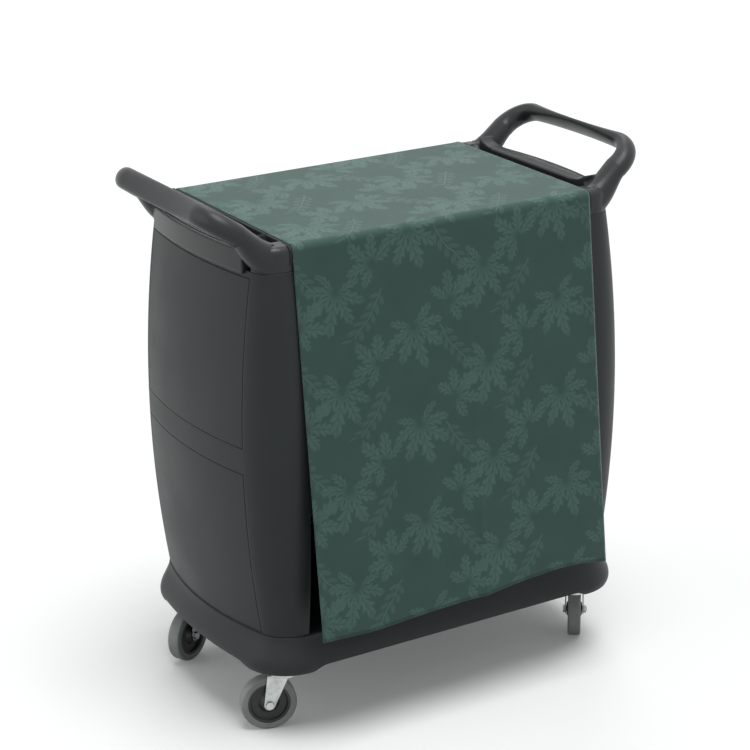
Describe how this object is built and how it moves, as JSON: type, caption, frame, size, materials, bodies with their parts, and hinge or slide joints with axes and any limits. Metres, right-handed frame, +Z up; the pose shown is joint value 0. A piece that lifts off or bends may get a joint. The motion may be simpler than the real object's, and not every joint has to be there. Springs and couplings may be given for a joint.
{
  "type": "bus cart",
  "caption": "Service cart with open shelves between crowned end panels, a push handle at each end, a draped cloth and swivel casters.",
  "frame": {"origin": "on the floor under the middle of the cart", "axes": "+X along the cart towards the right-hand handle, the cloth hangs over the -Y (front) and +Y (back) sides, +Z up"},
  "size_m": [0.8998, 0.5824, 0.9822],
  "materials": {
    "graphite_plastic": "fine-textured moulding, satin on the rounded edges",
    "green_cloth": "woven damask with tone-on-tone leaves",
    "zinc_steel": "bright zinc plate",
    "ball_steel": "polished",
    "brass": "turned",
    "black_plastic": "satin",
    "grey_rubber": "smooth non-marking tread"
  },
  "bodies": {
    "cart": {"base_shelf": "graphite_plastic", "middle_shelf": "graphite_plastic", "top_shelf": "graphite_plastic", "tablecloth": "green_cloth", "left_end_frame": "graphite_plastic", "right_end_frame": "graphite_plastic", "left_upper_panel": "graphite_plastic", "right_upper_panel": "graphite_plastic", "left_lower_panel": "graphite_plastic", "right_lower_panel": "graphite_plastic", "left_handle": "graphite_plastic", "right_handle": "graphite_plastic", "shelf_screws": "zinc_steel", "handle_screws": "zinc_steel", "foot_screws": "zinc_steel", "caster_bolts": "zinc_steel", "caster_inserts": "brass", "front_left_plate": "zinc_steel", "front_left_kingpin": "zinc_steel", "back_left_plate": "zinc_steel", "back_left_kingpin": "zinc_steel", "front_right_plate": "zinc_steel", "front_right_kingpin": "zinc_steel", "back_right_plate": "zinc_steel", "back_right_kingpin": "zinc_steel"},
    "front_left_swivel": {"front_left_fork": "zinc_steel", "front_left_axle_bolt": "zinc_steel", "front_left_axle_nut": "zinc_steel", "front_left_axle_bush": "zinc_steel", "front_left_balls": "ball_steel"},
    "front_left_wheel": {"front_left_hub": "black_plastic", "front_left_tyre": "grey_rubber"},
    "back_left_swivel": {"back_left_fork": "zinc_steel", "back_left_axle_bolt": "zinc_steel", "back_left_axle_nut": "zinc_steel", "back_left_axle_bush": "zinc_steel", "back_left_balls": "ball_steel"},
    "back_left_wheel": {"back_left_hub": "black_plastic", "back_left_tyre": "grey_rubber"},
    "front_right_swivel": {"front_right_fork": "zinc_steel", "front_right_axle_bolt": "zinc_steel", "front_right_axle_nut": "zinc_steel", "front_right_axle_bush": "zinc_steel", "front_right_balls": "ball_steel"},
    "front_right_wheel": {"front_right_hub": "black_plastic", "front_right_tyre": "grey_rubber"},
    "back_right_swivel": {"back_right_fork": "zinc_steel", "back_right_axle_bolt": "zinc_steel", "back_right_axle_nut": "zinc_steel", "back_right_axle_bush": "zinc_steel", "back_right_balls": "ball_steel"},
    "back_right_wheel": {"back_right_hub": "black_plastic", "back_right_tyre": "grey_rubber"}
  },
  "joints": [
    {"name": "front_left_turn", "type": "hinge", "parent": "cart", "child": "front_left_swivel", "pos_m": [-0.32, -0.172, 0.132], "axis": [0, 0, 1], "continuous": true},
    {"name": "front_left_roll", "type": "hinge", "parent": "front_left_swivel", "child": "front_left_wheel", "pos_m": [-0.34647, -0.16288, 0.0508], "axis": [-0.3256, -0.9455, 0], "continuous": true},
    {"name": "back_left_turn", "type": "hinge", "parent": "cart", "child": "back_left_swivel", "pos_m": [-0.32, 0.172, 0.132], "axis": [0, 0, 1], "continuous": true},
    {"name": "back_left_roll", "type": "hinge", "parent": "back_left_swivel", "child": "back_left_wheel", "pos_m": [-0.34472, 0.15885, 0.0508], "axis": [0.4695, -0.8829, 0], "continuous": true},
    {"name": "front_right_turn", "type": "hinge", "parent": "cart", "child": "front_right_swivel", "pos_m": [0.32, -0.172, 0.132], "axis": [0, 0, 1], "continuous": true},
    {"name": "front_right_roll", "type": "hinge", "parent": "front_right_swivel", "child": "front_right_wheel", "pos_m": [0.33646, -0.14935, 0.0508], "axis": [-0.809, 0.5878, 0], "continuous": true},
    {"name": "back_right_turn", "type": "hinge", "parent": "cart", "child": "back_right_swivel", "pos_m": [0.32, 0.172, 0.132], "axis": [0, 0, 1], "continuous": true},
    {"name": "back_right_roll", "type": "hinge", "parent": "back_right_swivel", "child": "back_right_wheel", "pos_m": [0.29295, 0.17925, 0.0508], "axis": [-0.2588, -0.9659, 0], "continuous": true}
  ]
}
